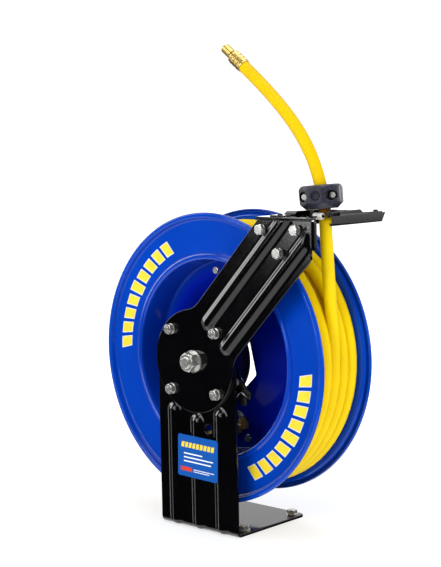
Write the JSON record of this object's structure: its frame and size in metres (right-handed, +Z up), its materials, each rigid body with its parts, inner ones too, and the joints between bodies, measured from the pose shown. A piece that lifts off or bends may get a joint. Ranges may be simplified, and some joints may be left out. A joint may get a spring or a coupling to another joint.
{
  "type": "air hose reel",
  "caption": "Spring-retractable air hose reel on a single pedestal, with a blue two-part spool, wound yellow hose, roller guide arm and hose stopper.",
  "frame": {"origin": "centre of the foot's four-hole pattern on its underside, under the middle of the spool", "axes": "+Z up, +Y along the spool's axle away from the pedestal plate, +X to the side the hose leaves from"},
  "size_m": [0.416, 0.173, 0.6699],
  "materials": {
    "black_paint": "gloss black powder coat over pressed steel",
    "blue_paint": "gloss royal blue powder coat over pressed steel",
    "zinc": "bright zinc plate",
    "dark_steel": "blackened steel",
    "spring_steel": "oiled spring steel",
    "hose_rubber": "smooth yellow rubber cover",
    "black_plastic": "satin moulded black plastic",
    "nylon": "white nylon",
    "brass": "turned brass",
    "bronze": "sintered bronze",
    "seal_rubber": "black nitrile",
    "label": "printed blue plate"
  },
  "bodies": {
    "root": {"pedestal": "black_paint", "guide_arm": "black_paint", "arm_bolts": "zinc", "arm_nuts": "zinc", "main_shaft": "zinc", "shaft_washer": "zinc", "shaft_nut": "zinc", "shaft_collar": "zinc", "data_plate": "label", "foot_bolts": "zinc", "foot_washers": "zinc", "guide_bracket": "black_paint", "bracket_bolts": "zinc", "bracket_nuts": "zinc", "roller_cover": "black_paint", "cover_plate_screws": "dark_steel", "roller_cage": "black_paint", "roller_pins": "dark_steel", "pawl_stud": "zinc", "pawl_spacer": "zinc", "pawl_nut": "zinc", "pawl_spring": "spring_steel", "spring_post": "zinc", "swivel_clip": "spring_steel", "hose_lead": "hose_rubber", "hose_tail": "hose_rubber", "stopper_front": "black_plastic", "stopper_rear": "black_plastic", "stopper_screws": "zinc", "hose_ferrule": "brass", "hose_nipple": "brass"},
    "spool": {"spool_near_half": "blue_paint", "spool_far_half": "blue_paint", "web_bolts": "zinc", "web_nuts": "zinc", "spring_canister": "black_paint", "canister_cover": "black_paint", "cover_screws": "zinc", "ratchet_wheel": "dark_steel", "power_spring": "spring_steel", "front_bush": "bronze", "rear_bush": "bronze", "swivel_body": "brass", "swivel_seals": "seal_rubber", "outlet_pipe": "zinc", "outlet_elbow": "brass", "hose_inner_end": "hose_rubber", "hose_pack": "hose_rubber"},
    "pawl": {"pawl": "dark_steel"},
    "left_roller": {"roller_left": "nylon"},
    "right_roller": {"roller_right": "nylon"},
    "front_roller": {"roller_front": "nylon"},
    "back_roller": {"roller_back": "nylon"}
  },
  "joints": [
    {"name": "spool_spin", "type": "hinge", "parent": "root", "child": "spool", "pos_m": [0, 0, 0.238], "axis": [0, -1, 0], "continuous": true},
    {"name": "pawl_swing", "type": "hinge", "parent": "root", "child": "pawl", "pos_m": [0.066, -0.067, 0.214], "axis": [0, 1, 0], "range_deg": [-5, 22], "stiffness_Nm_per_rad": 0.05, "deforming": ["pawl_spring"]},
    {"name": "left_roller_spin", "type": "hinge", "parent": "root", "child": "left_roller", "pos_m": [0.1649, -0.014, 0.4414], "axis": [0, 1, 0], "continuous": true},
    {"name": "right_roller_spin", "type": "hinge", "parent": "root", "child": "right_roller", "pos_m": [0.1921, -0.014, 0.4414], "axis": [0, 1, 0], "continuous": true},
    {"name": "front_roller_spin", "type": "hinge", "parent": "root", "child": "front_roller", "pos_m": [0.1785, -0.0276, 0.4388], "axis": [1, 0, 0], "continuous": true},
    {"name": "back_roller_spin", "type": "hinge", "parent": "root", "child": "back_roller", "pos_m": [0.1785, -0.0004, 0.432], "axis": [1, 0, 0], "continuous": true}
  ]
}
